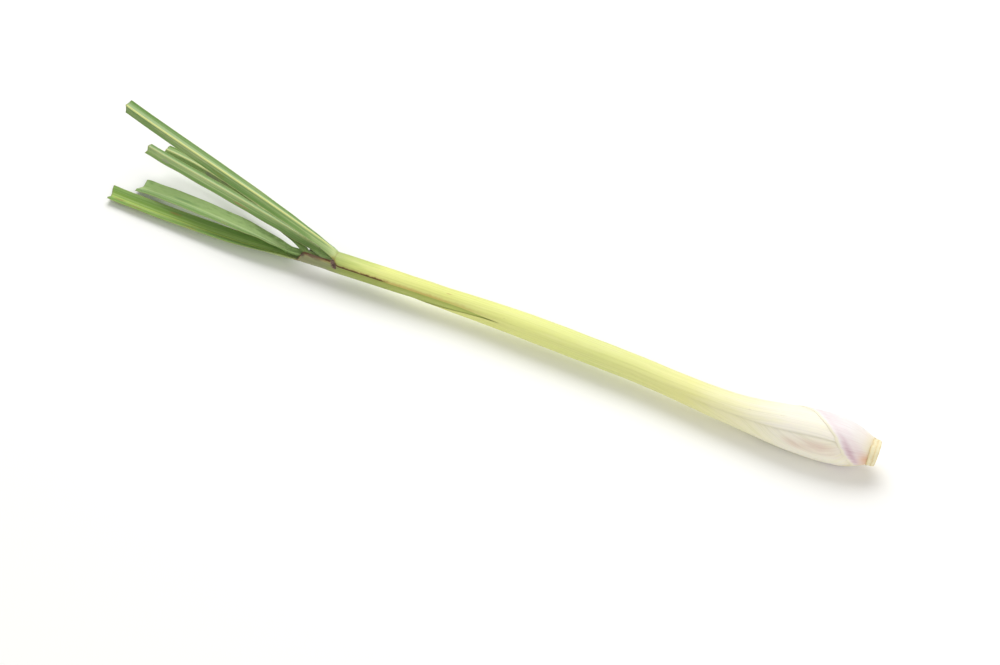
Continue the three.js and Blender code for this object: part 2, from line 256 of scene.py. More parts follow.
def leaf_rows(leaf, order, s_rows, t_rows):
    """Row data of one leaf: the sheath at distances s_rows, then the blade at fractions t_rows."""
    s_all = np.append(s_rows, leaf["collar"])
    centre, along, up, side = stalk_frame(s_all)
    out = outward(up, side, leaf["midrib"])
    radius = sheath_radius(order, s_all)
    origin = centre + out * radius[:, None]
    foot = dict(origin=origin[-1], along=along[-1], out=out[-1], radius=radius[-1])
    tip = np.array(leaf["tip"], float)
    length = float(np.linalg.norm(tip - foot["origin"]))
    leave = foot["along"] * length * leaf["lead"] * 2
    arrive = unit(np.array(leaf["arrive"], float)) * length
    arch = np.array(leaf["arch"], float)

    def place(k):
        k = k[:, None]
        return hermite(k, foot["origin"], leave, tip, arrive) + arch * np.sin(np.pi * np.minimum(k, 1))

    t = np.asarray(t_rows, float)
    b_along = unit(place(t + 0.005) - place(t - 0.005))
    turn = -np.radians(leaf["turn"]) * smooth(t * length, *leaf["turn_over"])
    axis, vec = foot["along"], foot["out"]
    turned = (vec[None] * np.cos(turn)[:, None] + np.cross(axis, vec)[None] * np.sin(turn)[:, None]
              + axis[None] * (axis @ vec) * (1 - np.cos(turn))[:, None])
    b_out = unit(turned - b_along * np.sum(turned * b_along, 1)[:, None])
    bladeness = smooth(t * length, 0, leaf["unroll"])
    n_s, n_t = len(s_rows), len(t)
    narrowing = smooth(s_rows, leaf["collar"] - 3, leaf["collar"] + 0.5)
    foot_reach = blade_reach(leaf, np.zeros(1))[0]
    reach = []
    for wrap in (leaf["minus"], leaf["plus"]):
        sheath = radius[:-1] * np.radians(wrap(s_rows))
        reach.append(np.append(sheath + (foot_reach - sheath) * narrowing, blade_reach(leaf, t)))
    no_tuck = np.zeros(n_s)
    return dict(
        order=order, length=length,
        s=np.append(s_rows, leaf["collar"] + t * length),
        origin=np.concatenate([origin[:-1], place(t)]),
        along=np.concatenate([along[:-1], b_along]),
        out=np.concatenate([out[:-1], b_out]),
        radius=np.append(radius[:-1], foot["radius"] * (1 + 0.5 * bladeness)),
        blade=np.append(np.zeros(n_s), bladeness),
        t=np.append(np.full(n_s, -1.0), t),
        half=np.append(np.full(n_s, foot_reach), blade_reach(leaf, t)),
        minus=reach[0], plus=reach[1],
        margin_angle=np.append(np.radians(360 - leaf["plus"](s_rows)), np.full(n_t, NO_MARGIN)),
        tuck=np.append(no_tuck if order else tuck_depth(s_rows), np.zeros(n_t)),
        thick=np.append(sheath_thickness(s_rows), np.full(n_t, LEAF_THICKNESS)),
    )


# %% [markdown]
# ## Unevenness and cut ends
# A grown skin is never quite even, and a knife leaves each blade with a slightly slanting, nicked end. A
# sum of a few seeded waves is smoother than noise and never repeats along the stalk. The cut line is a
# slant, set for each blade, with small seeded steps.

# %% Unevenness and cut ends
TURN = 6.28


def grain(seed, count, low, high):
    """Seeded sum of waves over two lengths, for the small unevenness of a grown surface."""
    rng = np.random.default_rng(seed)
    waves = [
        (rng.uniform(low, high), rng.uniform(-1, 1) * high * 1.5, rng.uniform(0, TURN)) for _ in range(count)
    ]
    return lambda a, b: sum(np.sin(a * p + b * q + r) for p, q, r in waves) / math.sqrt(count)


def ragged(seed, teeth, depth):
    """Uneven line over shares -1 to 1: steps and nicks of up to depth millimetres."""
    rng = np.random.default_rng(seed)
    places = np.sort(np.concatenate([[-1, 1], rng.uniform(-1, 1, teeth)]))
    cuts = rng.uniform(0, depth, len(places))
    return lambda share: np.interp(share, places, cuts)


END_CUTS = {
    "outer_leaf": lambda w: 0.3 + 1.1 * smooth(w, -0.6, 1) + ragged(3, 5, 0.6)(w),
    "second_leaf": lambda w: 0.2 + 2.0 * smooth(-w, -1, 1) + ragged(4, 6, 0.8)(w),
    "third_leaf": lambda w: 0.2 + 1.2 * smooth(w, -1, 1) + ragged(5, 5, 0.7)(w),
    "fourth_leaf": lambda w: 0.2 + 2.4 * smooth(w, -1, 1) + 1.4 * smooth(-w, 0.3, 1) + ragged(6, 6, 0.8)(w),
    "fifth_leaf": lambda w: 0.2 + 1.0 * smooth(-w, -1, 1) + ragged(7, 5, 0.6)(w),
}
for order, leaf in enumerate(LEAVES):
    leaf["grain"] = grain(11 + order, 7, 0.05, 0.42)
    leaf["slot"] = "inner_leaf" if order else "outer_leaf"
    print(leaf["name"], "loses up to", round(float(END_CUTS[leaf["name"]](np.linspace(-1, 1, 50)).max()), 1), "mm")

# %% [markdown]
# ## The skin of a leaf
# The sheath is rolled round the stalk and its covered side dips under the free margin. The blade is
# folded. Between them one section passes into the other, so sheath and blade stay one sheet, as they are
# on the plant. The section's direction gives the skin's thickness, and the outermost margins are pressed
# on what lies under them, because a gap there would show as a dark line.

# %% Leaf surface
STEP_DEPTH, STEP_RUN = 0.29, 4.5  # the covered side dips by this at the free margin, then fully over this run
NUDGE, SHARE_NUDGE = 0.02, 0.004  # small steps for finding the section's direction
FOLD_ROOM = 0.18  # how near its middle the inside of a blade comes, as a share of the width
ABOVE_TABLE = 0.02
OUT_OF_REACH = 50.0  # a distance to the margin at which no pattern shows


def sheath_section(column, minus_side, v):
    """(across, inward) of a rolled sheath at lengths v round from its midrib."""
    radius = column["radius"]
    angle = v / radius
    under = column["margin_angle"] - angle
    shallow = np.minimum(column["tuck"], STEP_DEPTH)
    full = np.minimum(column["tuck"], column["thick"] + 0.1)
    depth = shallow * smooth(-under, -0.8, 0.0) + (full - shallow) * smooth(-under * radius, 0, STEP_RUN)
    r = radius - np.where(minus_side, depth, 0)
    return np.stack([r * np.sin(angle), radius - r * np.cos(angle)])


def leaf_surface(leaf, rows, share, lift=0.0):
    """Outer and inner points of a leaf at signed shares (-1 to 1) of its reach, and what they lie on.
    lift raises the outer skin, or sinks it where it is negative."""
    column = {key: value[:, None] for key, value in rows.items() if np.ndim(value) == 1}
    blade, width, minus_side = column["blade"], np.abs(share), (share < 0)[None]
    sign = np.where(minus_side, -1.0, 1.0)
    reach = np.where(minus_side, column["minus"], column["plus"])
    size = width * reach
    to_margin = reach - size

    # the section, and its direction at each point
    fold = np.radians(leaf["fold"])
    rolled, folded = sheath_section(column, minus_side, size), folded_section(rows["half"], fold, width)
    x, y = rolled + (folded - rolled) * blade
    rolled_way = (sheath_section(column, minus_side, size + NUDGE) - rolled) / NUDGE
    ahead = folded_section(rows["half"], fold, np.clip(width + SHARE_NUDGE, 0, 1))
    margin_slope = (1 - MARGIN_FLATTENING) * fold
    margin_way = np.array([math.cos(margin_slope), math.sin(margin_slope)])[:, None, None]
    folded_way = np.where(width < 1 - SHARE_NUDGE, (ahead - folded) / (SHARE_NUDGE * column["half"]), margin_way)
    way = rolled_way * (1 - blade) + folded_way * blade
    tx, ty = way / np.hypot(*way)

    # a sheath thins out to its margin, a blade is thickest along its midrib, whose keel stands out below
    keel = MIDRIB_KEEL * blade * np.exp(-((size / 0.55) ** 2))
    sheath_taper = MARGIN_THICKNESS + (column["thick"] - MARGIN_THICKNESS) * smooth(to_margin, 0, 5)
    blade_taper = 0.2 + 0.2 * smooth(to_margin, 0, 3) + 0.25 * np.exp(-((size / 0.9) ** 2))
    thick = sheath_taper * (1 - blade) + blade_taper * blade
    ripple = leaf["grain"](column["s"], sign * size)
    wave = 0.05 * (1 - blade) * smooth(column["s"], 8, 16) * ripple
    wave = wave + 0.14 * blade * smooth(width, 0.3, 1) * ripple
    # the outermost sheath's free margins hug the leaf under them
    deep = (0.07 + 0.27 * smooth(column["s"], 165, 190)) * (rows["order"] == 0)
    hug = deep * (1 - blade) * (1 - smooth(to_margin, 0, 2.6))
    inwards = thick + lift + 0.7 * hug
    inner_x = x - inwards * ty
    inner_x = np.where(blade > 0, np.maximum(inner_x, FOLD_ROOM * size * blade), inner_x)
    inner_x = np.where(share == 0, 0, inner_x)
    across = np.cross(rows["out"], rows["along"])
    shift = -END_CUTS[leaf["name"]](share) * smooth(column["t"], 0.86, 1)

    def placed(px, py):
        point = (rows["origin"][:, None] + across[:, None] * (sign * px)[..., None]
                 - rows["out"][:, None] * py[..., None] + rows["along"][:, None] * shift[..., None])
        point[..., 2] = np.maximum(point[..., 2], ABOVE_TABLE)
        return point

    overlap = (column["margin_angle"] - size / column["radius"]) * column["radius"]
    data = dict(
        along=column["s"] + shift, across=sign * size, margin=to_margin,
        plus=np.where(minus_side, OUT_OF_REACH, to_margin), minus=np.where(minus_side, to_margin, OUT_OF_REACH),
        overlap=np.where(minus_side, overlap, OUT_OF_REACH), blade=np.broadcast_to(blade, size.shape),
        end=np.broadcast_to((1 - column["t"]) * rows["length"], size.shape),
    )
    outer = placed(x + (lift - hug) * ty, y - keel - wave - (lift - hug) * tx)
    return outer, placed(inner_x, y - wave + inwards * tx), data


# %% [markdown]
# ## From points to meshes
# A leaf is a closed sheet: an outer and an inner grid of points, joined by walls round the edge. Its
# faces are quads, wound so that they point outwards. What each point lies on, such as its distance from
# the root cut and from the margin, is kept in named attributes, which the materials read. A flat sheet
# with a Solidify modifier would have the same thickness everywhere; two grids can thin out to the margin.

# %% Mesh builders
def mesh_object(name, points_mm, faces, attributes=None, edges=()):
    mesh = bpy.data.meshes.new(name)
    mesh.from_pydata((np.asarray(points_mm) + MOVE) * MM, list(edges), faces)
    for key, values in (attributes or {}).items():
        layer = mesh.attributes.new(key, "FLOAT", "POINT")
        layer.data.foreach_set("value", np.asarray(values, np.float32))
    mesh.update()
    if faces:
        mesh.shade_smooth()
    made = bpy.data.objects.new(name, mesh)
    bpy.context.scene.collection.objects.link(made)
    return made


def facing_out(points, faces):
    """Faces of a closed mesh, all turned round if its volume comes out negative."""
    volume = 0.0
    for corners in (3, 4):
        p = points[np.array([face for face in faces if len(face) == corners], int).reshape(-1, corners)]
        for k in range(1, corners - 1):
            volume += np.einsum("ij,ij->", p[:, 0], np.cross(p[:, k], p[:, k + 1]))
    return faces if volume > 0 else [face[::-1] for face in faces]


def closed_sheet(name, outer, inner, data, ring=False):
    """Closed mesh between two grids of points in millimetres, with float attributes. In a ring the last
    column meets the first."""
    n, m = outer.shape[:2]
    index = np.arange(n * m).reshape(n, m)
    if ring:
        index = np.hstack([index, index[:, :1]])
    top = np.stack([index[:-1, :-1], index[:-1, 1:], index[1:, 1:], index[1:, :-1]], -1).reshape(-1, 4)
    edge_lines = [index[0], index[:, -1], index[-1, ::-1], index[::-1, 0]]
    walls = [
        np.stack([line[1:], line[:-1], line[:-1] + n * m, line[1:] + n * m], -1)
        for line in (edge_lines[::2] if ring else edge_lines)
    ]
    faces = np.concatenate([top, top[:, ::-1] + n * m, *walls]).tolist()
    points = np.concatenate([outer.reshape(-1, 3), inner.reshape(-1, 3)])
    flat = {key: np.concatenate([v.ravel(), v.ravel()]) for key, v in data.items()}
    flat["inside"] = np.concatenate([np.zeros(n * m), np.ones(n * m)])
    made = mesh_object(name, points, facing_out(points, faces), flat)
    print(name, len(faces), "faces")
    return made


# %% [markdown]
# ## Five leaves
# Rows are closer together at the bulb and at the collar, where the shape changes most, and columns are
# closer at the margins. The outermost leaf has the most of both, because most of it shows.

# %% Five leaves
BLADE_ROWS = np.concatenate([np.linspace(0.004, 0.1, 10), np.linspace(0.11, 0.88, 62), np.linspace(0.89, 1, 14)])


def shares(columns):
    """Signed shares of the reach, closer together near the margins."""
    def one(count):
        k = np.linspace(0, 1, count + 1)[1:]
        return k + 0.06 * np.sin(np.pi * k) * k
    return np.concatenate([-one(columns[0])[::-1], [0], one(columns[1])])


leaves = {}
for order, leaf in enumerate(LEAVES):
    start, bulb_step, stem_step = (LEAF_START + 1.2, 3.0, 4.0) if order else (LEAF_START, 1.2, 2.2)
    collar = leaf["collar"]
    sheath_rows = np.concatenate([
        np.arange(start, 60, bulb_step), np.arange(60, collar - 16, stem_step),
        np.arange(collar - 16, collar - 0.4, 0.8), [collar - 0.2],
    ])
    leaf["rows"] = leaf_rows(leaf, order, sheath_rows, BLADE_ROWS)
    surface = leaf_surface(leaf, leaf["rows"], shares(leaf["columns"]))
    leaves[leaf["name"]] = closed_sheet(leaf["name"], *surface)
    print(leaf["name"], round(collar + leaf["rows"]["length"]), "mm from the root cut to the tip")

# %% [markdown]
# ## Peeled sheath
# An older leaf was peeled off, and what is left of its sheath is a thin cup round the bulb, with a
# slanting, slightly nicked edge that lies close on the leaf under it. It could be cut out of a whole
# sheath with a boolean, but then its edge would be a sharp step. A grid that runs from its foot up to its
# own edge can thin out and curl in there.

# %% Peeled sheath
REMNANT_START = 125  # angle round the stalk at which the cup starts and ends
REMNANT_FOOT, FOOT_TUCK = 2.0, 0.42  # its lower end, and how far that slips under the torn feet
RIM_THICKNESS, RIM_CURL = 0.16, 0.27
remnant_edge = profile((0, 9), (86, 18), (130, 27), (176, 37), (235, 57), (275, 52), (318, 34), (360, 12))


def uneven_round(rounds, seed, count, depth):
    """Seeded unevenness of up to depth, between count places round the stalk."""
    depths = np.random.default_rng(seed).uniform(-depth, depth, count)
    return np.interp(rounds, np.linspace(0, 360, count), depths)


def remnant_grid(rounds, shares_up):
    """Points of the remnant: rounds are degrees round from its start, shares_up run up to its edge."""
    edge = remnant_edge(rounds) + uneven_round(rounds, 21, 91, 0.35)
    foot = REMNANT_FOOT + uneven_round(rounds, 22, 61, 0.2)
    s = foot + (edge - foot) * shares_up[:, None]
    angle = np.broadcast_to(REMNANT_START - rounds, s.shape)
    rim = np.minimum(edge - s, np.minimum(rounds, 360 - rounds) * 0.15)
    bumps = 0.04 * grain(31, 6, 0.1, 0.5)(s, angle * 0.16) * smooth(s, 6, 12)
    tucked = FOOT_TUCK * (1 - smooth(s, 2.9, 4.6))
    radius = outline_radius(s) - RIM_CURL * np.exp(-((rim / 0.9) ** 2)) - tucked + bumps
    thick = RIM_THICKNESS + (REMNANT_THICKNESS - RIM_THICKNESS) * smooth(rim, 0, 2)
    grids = [on_stalk(s, angle, radius), on_stalk(s, angle, radius - thick)]
    for grid in grids:
        grid[..., 2] = np.maximum(grid[..., 2], 0.0)
    return (*grids, dict(along=s, edge=edge - s, rim=rim, angle=angle))


cup = remnant_grid(np.linspace(1.5, 358.5, 150), np.linspace(0, 1, 44) ** 0.9)
peeled_sheath = closed_sheet("peeled_sheath", *cup)

# %% [markdown]
# ## Stem base
# The solid stem that all leaves grow from was cut across, a little askew. It is a turned shape, but not
# quite round, ribbed where sheaths were pulled off and rough on the cut. So it is built from rings, from
# the middle of the cut face over its rim and up the side, and each ring is pushed by its own small waves.

# %% Stem base
STEM_TOP = 6.0
STEM_COLUMNS = 144


def stem_side_radius(s):
    """Radius of the stem base: the outline where it is bare, less where the sheaths' feet cover it."""
    return outline_radius(s) - 0.06 - 0.75 * smooth(s, 1.3, 2.0)


def stem_rings():
    """Distances from the cut and radii of the rings, from the cut face to the hidden top."""
    flesh = np.concatenate([np.linspace(0.3, 4.6, 22), np.linspace(4.75, outline_radius(0) - 0.32, 5)])
    side = np.linspace(0.5, STEM_TOP - 0.3, 18)
    s = np.concatenate([np.zeros(len(flesh)), [0.05, 0.2], side, [STEM_TOP, STEM_TOP]])
    corner = [stem_side_radius(0) - 0.1, stem_side_radius(0.2)]
    return s[:, None], np.concatenate([flesh, corner, stem_side_radius(side), [4.5, 2.0]])[:, None]


theta = np.linspace(0, 360, STEM_COLUMNS, endpoint=False)
turned = np.radians(theta)
s, r = stem_rings()
wobble = 1 + 0.012 * np.sin(turned * 3 + 1) + 0.008 * np.sin(turned * 7)
ribs = 0.07 * np.sin(turned * 31 + np.sin(turned * 5)) * (s > 0.1)
cut_grain = 0.07 * grain(41, 8, 0.4, 1.6)(r * np.cos(turned), r * np.sin(turned))
relief = (cut_grain + 0.10 * np.sin(r * 5.2) * smooth(r, 2.5, 4.2) - 0.12) * (s == 0)
grid = on_stalk(s, theta, r * wobble + ribs, cut_slant(s, r, theta) + relief)
middles = on_stalk(np.array([0, STEM_TOP]), 0.0, 0.0, np.array([-0.1, 0]))
points = np.vstack([grid.reshape(-1, 3), middles])
index = np.arange(grid.size // 3).reshape(grid.shape[:2])
nxt = np.roll(index, -1, 1)
faces = np.stack([index[:-1], index[1:], nxt[1:], nxt[:-1]], -1).reshape(-1, 4).tolist()
faces += [[index.size, int(a), int(b)] for a, b in zip(index[0], nxt[0])]
faces += [[index.size + 1, int(b), int(a)] for a, b in zip(index[-1], nxt[-1])]
radial = np.append(np.broadcast_to(r, index.shape), [r[0, 0], r[-1, 0]])
stem_base = mesh_object("stem_base", points, facing_out(points, faces), {"radial": radial})
print("stem base", len(faces), "faces")

# %% [markdown]
# ## Torn sheath feet
# Where older sheaths were torn off, low cuffs with an uneven torn edge are left round the stem base, one
# inside the other. Each is a ring-shaped sheet: the same builder as for a leaf, with its ends joined.

# %% Torn sheath feet
def torn_line(rng, theta, height, dents):
    """Height of a torn edge at angles round the stalk: slow unevenness with a few small dents."""
    slow = [(k, rng.uniform(0, TURN), rng.uniform(0.3, 1) / k) for k in (1, 2, 3, 5, 8)]
    places = [(rng.uniform(0, 360), rng.uniform(4, 11), rng.uniform(0.1, 0.36)) for _ in range(dents)]
    line = sum(size * np.sin(np.radians(theta) * k + phase) for k, phase, size in slow) * 0.16
    for centre, width, depth in places:
        away = np.abs((theta - centre + 180) % 360 - 180)
        line = line - depth * (1 - smooth(away, 0.35 * width, width))
    return height * np.maximum(0.25, 1 + 0.55 * line)


def torn_foot(name, seed, start, height, rise, thickness):
    """Cuff that a torn-off sheath leaves round the stem base. Its free edge points up the stalk."""
    theta = np.linspace(0, 360, 240, endpoint=False)
    turned = np.radians(theta)
    tall = torn_line(np.random.default_rng(seed), theta, height, 11)
    k = np.array([0, 0.08, 0.25, 0.45, 0.65, 0.82, 0.93, 0.985, 1.0])[:, None]
    s = start + tall * k
    swell = 0.1 * np.sin(np.pi * k) - 0.16 * (k > 0.99) - 0.1 * (k < 0.01)
    ribs = 0.035 * np.sin(turned * 47 + 2 * np.sin(turned * 5 + seed)) * np.sin(np.pi * k)
    radius = outline_radius(s) + rise + swell + ribs
    slant = cut_slant(s, radius, theta)
    inner = on_stalk(s, theta, radius - thickness * (1 - 0.6 * k), slant)
    data = dict(along=s, edge=tall * (1 - k), angle=np.broadcast_to(theta, s.shape))
    return closed_sheet(name, on_stalk(s, theta, radius, slant), inner, data, ring=True)


torn_feet = [
    torn_foot("torn_sheath_foot_outer", 51, 0.25, 1.35, 0.04, 0.5),
    torn_foot("torn_sheath_foot_inner", 53, 1.1, 2.2, -0.1, 0.36),
]

# %% [markdown]
# ## Ligule
# Where the blade leaves the sheath, a thin membrane stands up against the next leaf. It is dry and
# purple-brown, and only its torn rim shows. It is a thin closed sheet of its own, on the next sheath.

# %% Ligule
LIGULE_THICKNESS = 0.14


def membrane(name, order, s_from, angles, height, seed):
    """Thin torn sheet that stands on the inside of a collar, against the next leaf's sheath."""
    theta = np.linspace(*angles, 70)
    share = np.linspace(0, 1, 70)
    torn = np.interp(share, np.linspace(0, 1, 24), np.random.default_rng(seed).uniform(-1, 1, 24))
    top = height * np.sqrt(np.clip(np.sin(np.pi * share), 0.02, 1)) * (1 + 0.3 * torn)
    k = np.linspace(0, 1, 8)[:, None]
    s = s_from + top * k
    radius = sheath_radius(order, s) + 0.2 + 0.16 * k**2 + 0.05 * np.sin(np.radians(theta) * 23)
    inner = on_stalk(s, theta, radius - LIGULE_THICKNESS)
    return closed_sheet(name, on_stalk(s, theta, radius), inner, dict(edge=top * (1 - k)))


ligules = [
    membrane("ligule_1", 1, 260.8, (18, 78), 2.9, 61),
    membrane("ligule_1_far_side", 1, 260.9, (-140, -60), 2.5, 62),
]

# %% [markdown]
# ## Camera
# The camera looks down on the stalk at the photograph's angle, with a long lens, so that the far blades
# are hardly smaller than the near bulb. Its place is worked out from a point that it looks at.

# %% Camera
AZIMUTH, ELEVATION, DISTANCE = math.radians(25.81), math.radians(48), 1.0595
camera_data = bpy.data.cameras.new("camera")
camera_data.lens, camera_data.sensor_width = 85, 36
camera_data.clip_start, camera_data.clip_end = 0.01, 20
camera = bpy.data.objects.new("camera", camera_data)
target = Vector((-176.8 + MOVE[0], -5.0 + MOVE[1], 8.0)) * MM
flat = math.cos(ELEVATION)
back = Vector((math.sin(AZIMUTH) * flat, -math.cos(AZIMUTH) * flat, math.sin(ELEVATION)))
camera.location = target + back * DISTANCE
camera.rotation_mode = "QUATERNION"
camera.rotation_quaternion = (-back).to_track_quat("-Z", "Y")
bpy.context.scene.collection.objects.link(camera)
bpy.context.scene.camera = camera
print("camera at", [round(x, 3) for x in camera.location])

# %% [markdown]
# ## Colours and nodes
# Every colour is an sRGB hex value, made linear by one function, and every node is made by one function
# that sets its values and links its inputs.

# %% Colours and nodes
def linear(code):
    """sRGB hex colour as linear values."""
    channels = [int(code[i:i + 2], 16) / 255 for i in (1, 3, 5)]
    return (*[c / 12.92 if c <= 0.04045 else ((c + 0.055) / 1.055) ** 2.4 for c in channels], 1.0)


def join(tree, node, inputs):
    """Sets a node's inputs: a socket is linked, anything else is the input's value."""
    for key, value in inputs.items():
        if isinstance(value, bpy.types.NodeSocket):
            tree.links.new(value, node.inputs[key])
        else:
            node.inputs[key].default_value = value


def add(tree, kind, settings=None, inputs=None, stops=()):
    """Adds one node: its own settings, its inputs, and a ramp's (place, colour) stops."""
    made = tree.nodes.new(kind)
    for key, value in (settings or {}).items():
        setattr(made, key, value)
    join(tree, made, inputs or {})
    if stops:
        elements = made.color_ramp.elements
        while len(elements) < len(stops):
            elements.new(1.0)
        for element, (place, code) in zip(elements, stops):
            element.position, element.color = place, linear(code)
    return made


def start_skin(name, *measures):
    """A new material, its node tree, and the mesh's named measures as sockets."""
    material = bpy.data.materials.new(name)
    material.use_nodes = True
    tree = material.node_tree
    read = {"attribute_type": "GEOMETRY"}
    return material, tree, *[
        add(tree, "ShaderNodeAttribute", read | {"attribute_name": key}).outputs["Fac"] for key in measures
    ]


def plain_skin(name, code, roughness):
    material, tree = start_skin(name)
    join(tree, tree.nodes["Principled BSDF"], {"Base Color": linear(code), "Roughness": roughness})
    return material


print("the bulb's cream is", [round(x, 3) for x in linear("#F4E8C6")[:3]], "in linear light")

# %% [markdown]
# ## Light and table
# The photograph has soft studio light from above and behind and almost no shadow. One large disc above
# gives the soft shadow, a weaker one in front lifts the near side, and an even pale sky does the rest.

# %% Light and table
TABLE_REACH = 4000


def soft_light(name, place, size, power, colour="#FFFFFF"):
    """Disc of light that is turned to the middle of the table."""
    data = bpy.data.lights.new(name, "AREA")
    data.shape, data.size, data.energy = "DISK", size, power
    data.color = linear(colour)[:3]
    light = bpy.data.objects.new(name, data)
    light.location = place
    light.rotation_mode = "QUATERNION"
    light.rotation_quaternion = (-Vector(place)).to_track_quat("-Z", "Y")
    bpy.context.scene.collection.objects.link(light)
    print(name, power, "W")


soft_light("overhead", (-0.25, 0.75, 1.3), 1.3, 17)
soft_light("side_fill", (0.9, -0.9, 1.0), 1.2, 6, "#FFFAF0")
world = bpy.data.worlds.new("studio")
world.use_nodes = True
join(world.node_tree, world.node_tree.nodes["Background"], {"Color": linear("#FFFFFF"), "Strength": 0.5})
bpy.context.scene.world = world
bpy.context.scene.view_settings.view_transform = "Standard"

corners = [(x * TABLE_REACH, y * TABLE_REACH, -0.05) for x, y in ((-1, -1), (1, -1), (1, 1), (-1, 1))]
table_top = mesh_object("table_top", corners, [[0, 1, 2, 3]])
# matt white paint, so that the stalk's own colours aren't tinted from below and its shadow stays soft
table_top.data.materials.append(plain_skin("white_table_paint", "#F7F7F5", 0.7))

# %% [markdown]
# ## How a skin is painted
# A leaf's colour is laid on in thin layers, as a painter would: a base that changes along the leaf, then
# veins, streaks, margins and old spots. Each layer has a shade and a strength, and the strength is a
# product of measures: how far from the margin, whether sheath or blade, and a pattern that grew with the
# leaf. All lengths are millimetres on the plant, so a pattern keeps its real size.

# %% Layers
def strength(tree, *parts):
    """Product of a layer's parts: values, spans and bands. A span (value, low, high) goes from 0 at low
    to 1 at high. A band (value, low, high, soft) is 1 from low to high and fades over soft at each end."""
    product = None
    for part in parts:
        if isinstance(part, tuple) and len(part) == 4:
            value, low, high, soft = part
            part = strength(tree, (value, low - soft, low + soft), (value, high + soft, high - soft))
        elif isinstance(part, tuple):
            span = dict(zip(("Value", "From Min", "From Max"), part))
            part = add(tree, "ShaderNodeMapRange", {"interpolation_type": "SMOOTHSTEP"}, span).outputs["Result"]
        if product is not None:
            part = add(tree, "ShaderNodeMath", {"operation": "MULTIPLY"}, {0: product, 1: part}).outputs[0]
        product = part
    return product


def shifted(tree, value, *others):
    """A value that others move, each given as (other, share)."""
    for other, share in others:
        inputs = {0: other, 1: share, 2: value}
        value = add(tree, "ShaderNodeMath", {"operation": "MULTIPLY_ADD"}, inputs).outputs[0]
    return value


def layer(tree, colour, shade, *parts):
    """Lays a shade over a colour, as strongly as the product of the parts."""
    laid = {0: strength(tree, *parts), 6: colour, 7: linear(shade)}
    return add(tree, "ShaderNodeMix", {"data_type": "RGBA"}, laid).outputs[2]


def base_colour(tree, value, reach, stops):
    """Colour that follows a value in millimetres, from (millimetres, colour) stops."""
    stops = [(mm / reach, code) for mm, code in stops]
    return add(tree, "ShaderNodeValToRGB", {}, {"Fac": strength(tree, value, 1 / reach)}, stops).outputs["Color"]


def growth(tree, x, y, per_mm, seed, detail=3.0, roughness=0.5):
    """Pattern over two lengths on the skin, with about per_mm features to the millimetre each way."""
    place = add(tree, "ShaderNodeCombineXYZ", {}, {
        "X": strength(tree, x, per_mm[0]), "Y": strength(tree, y, per_mm[1]), "Z": float(seed)}).outputs[0]
    return add(tree, "ShaderNodeTexNoise", {}, {
        "Vector": place, "Scale": 1.0, "Detail": detail, "Roughness": roughness}).outputs["Fac"]


def finish_skin(tree, colour, height, relief, roughness, flesh, specular=0.5):
    """Colour, fine relief as (strength, metres), gloss, and the light that enters the pale flesh and comes
    out softened, as (weight, radii). The relief is too fine for the mesh, so it is a bump."""
    bump = {"Height": height, "Strength": relief[0], "Distance": relief[1]}
    join(tree, tree.nodes["Principled BSDF"], {
        "Base Color": colour, "Normal": add(tree, "ShaderNodeBump", {}, bump).outputs["Normal"],
        "Roughness": roughness, "Specular IOR Level": specular, "IOR": 1.42,
        "Subsurface Weight": flesh[0], "Subsurface Radius": flesh[1], "Subsurface Scale": 0.0012,
    })


# %% [markdown]
# ## Skin of a leaf
# Fresh grass leaf with a thin wax bloom: satin on the sheath, duller on the blade. It is cream at the
# bulb and turns yellow-green and then leaf green as the light reached it. Fine lengthwise veins and
# streaks, a pale midrib and a few dried spots make it a leaf and not plastic. A painted highlight beside
# the midrib and painted shade towards the margins give the folded blade the light and shade of its fold.
# A photograph could be wrapped round it, but layers over the leaf's own measures have no seam and no
# end, and follow each leaf where it turns.

# %% Skin of a leaf
SKIN_REACH = 400.0
VEINS_PER_MM = 12.2 / TURN  # about two fine veins to the millimetre


